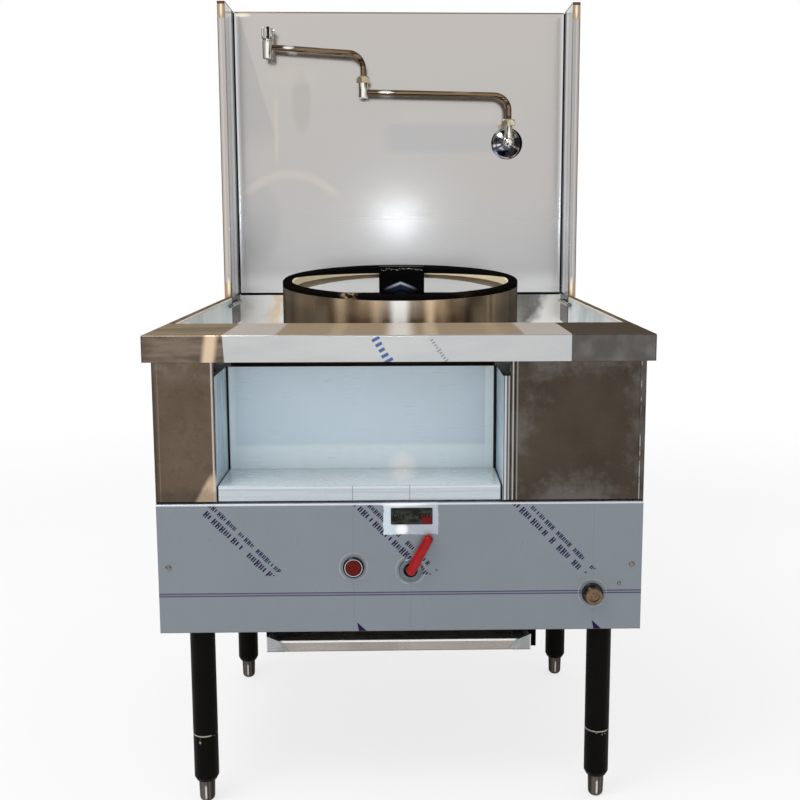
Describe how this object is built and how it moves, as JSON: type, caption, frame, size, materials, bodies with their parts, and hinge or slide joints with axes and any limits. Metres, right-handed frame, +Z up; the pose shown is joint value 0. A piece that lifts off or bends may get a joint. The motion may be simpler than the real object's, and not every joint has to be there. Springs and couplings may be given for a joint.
{
  "type": "wok range",
  "caption": "Freestanding gas wok range in folded stainless sheet: sunken well with a tilted black wok ring, splashback with a jointed swing tap, open front shelf and lever control.",
  "frame": {"origin": "on the floor under the middle of the outer box", "axes": "+Z up, +X to the cook's right, +Y away from the cook, towards the splashback"},
  "size_m": [0.75, 0.875, 1.35],
  "materials": {
    "stainless": "brushed and polished stainless sheet",
    "filmed_stainless": "brushed stainless under a pale protective film",
    "black_enamel": "semi-gloss black paint",
    "chrome": "polished chrome plating",
    "brass": "machined brass, slightly dull",
    "cast_iron": "rough casting",
    "plated_steel": "turned steel, zinc plated",
    "red_plastic": "glossy red plastic",
    "dark_label": "printed dark label",
    "black_plastic": "matt black plastic",
    "copper_tube": "drawn tube, slightly dull"
  },
  "bodies": {
    "cabinet": {"worktop": "stainless", "splashback_panel": "stainless", "left_wing": "stainless", "right_wing": "stainless", "wing_clamps": "plated_steel", "left_side_panel": "stainless", "right_side_panel": "stainless", "rear_panel": "stainless", "base_pan": "stainless", "left_front_panel": "stainless", "right_front_panel": "stainless", "niche_liner": "filmed_stainless", "niche_shelf": "stainless", "control_panel": "filmed_stainless", "panel_screws": "plated_steel", "ring_collar": "stainless", "burner_bowl": "cast_iron", "burner_head": "cast_iron", "mixing_tube": "cast_iron", "gas_injector": "brass", "pilot_burner": "brass", "thermocouple": "copper_tube", "pilot_tube": "copper_tube", "burner_stand": "plated_steel", "gas_valve": "brass", "lever_washer": "plated_steel", "gas_inlet_pipe": "plated_steel", "gas_feed_pipe": "plated_steel", "switch_label": "dark_label", "button_bezel": "chrome", "igniter_body": "black_plastic", "plug_bezel": "black_plastic", "hex_plug": "brass", "tray_runners": "black_enamel", "leg_plates": "plated_steel", "leg_sleeves": "black_enamel", "tap_escutcheon": "chrome", "tap_elbow": "chrome", "tap_gland_nut": "chrome", "front_left_leg": "black_enamel", "front_right_leg": "black_enamel", "rear_left_leg": "black_enamel", "rear_right_leg": "black_enamel"},
    "lower_arm_group": {"lower_arm": "chrome", "mid_joint": "chrome", "mid_nut": "brass"},
    "upper_arm_group": {"upper_arm": "chrome", "outlet_body": "chrome"},
    "outlet_handle": {"outlet_knob": "chrome"},
    "gas_lever": {"lever": "plated_steel", "lever_grip": "red_plastic", "valve_stem": "plated_steel"},
    "igniter_button": {"button_cap": "red_plastic"},
    "tray": {"drip_tray": "stainless"},
    "ring": {"wok_ring": "black_enamel", "ring_back_plate": "black_enamel"},
    "front_left_foot_group": {"front_left_foot": "plated_steel"},
    "front_right_foot_group": {"front_right_foot": "plated_steel"},
    "rear_left_foot_group": {"rear_left_foot": "plated_steel"},
    "rear_right_foot_group": {"rear_right_foot": "plated_steel"}
  },
  "joints": [
    {"name": "tap_lower_swivel", "type": "hinge", "parent": "cabinet", "child": "lower_arm_group", "pos_m": [0.235, 0.3755, 1.071], "axis": [0, 0, 1], "range_deg": [0, 120]},
    {"name": "tap_upper_swivel", "type": "hinge", "parent": "lower_arm_group", "child": "upper_arm_group", "pos_m": [-0.0785, 0.3755, 1.17599], "axis": [0, 0, 1], "range_deg": [0, 170]},
    {"name": "outlet_turn", "type": "hinge", "parent": "upper_arm_group", "child": "outlet_handle", "pos_m": [-0.2815, 0.3755, 1.26909], "axis": [0, 0, 1], "range_deg": [0, 90]},
    {"name": "gas_lever_turn", "type": "hinge", "parent": "cabinet", "child": "gas_lever", "pos_m": [0.014, -0.4195, 0.38], "axis": [0, -1, 0], "range_deg": [0, 58]},
    {"name": "igniter_press", "type": "slide", "parent": "cabinet", "child": "igniter_button", "axis": [0, 1, 0], "range_m": [0, 0.005], "stiffness_N_per_m": 400, "springref_m": -0.003},
    {"name": "tray_slide", "type": "slide", "parent": "cabinet", "child": "tray", "axis": [0, -1, 0], "range_m": [0, 0.4]},
    {"name": "ring_lift", "type": "slide", "parent": "cabinet", "child": "ring", "axis": [0, 0, 1], "range_m": [0, 0.15]},
    {"name": "front_left_foot_turn", "type": "hinge", "parent": "cabinet", "child": "front_left_foot_group", "pos_m": [-0.307, -0.3935, 0.02], "axis": [0, 0, 1], "continuous": true},
    {"name": "front_right_foot_turn", "type": "hinge", "parent": "cabinet", "child": "front_right_foot_group", "pos_m": [0.307, -0.3935, 0.02], "axis": [0, 0, 1], "continuous": true},
    {"name": "rear_left_foot_turn", "type": "hinge", "parent": "cabinet", "child": "rear_left_foot_group", "pos_m": [-0.307, 0.0635, 0.02], "axis": [0, 0, 1], "continuous": true},
    {"name": "rear_right_foot_turn", "type": "hinge", "parent": "cabinet", "child": "rear_right_foot_group", "pos_m": [0.307, 0.0635, 0.02], "axis": [0, 0, 1], "continuous": true}
  ]
}
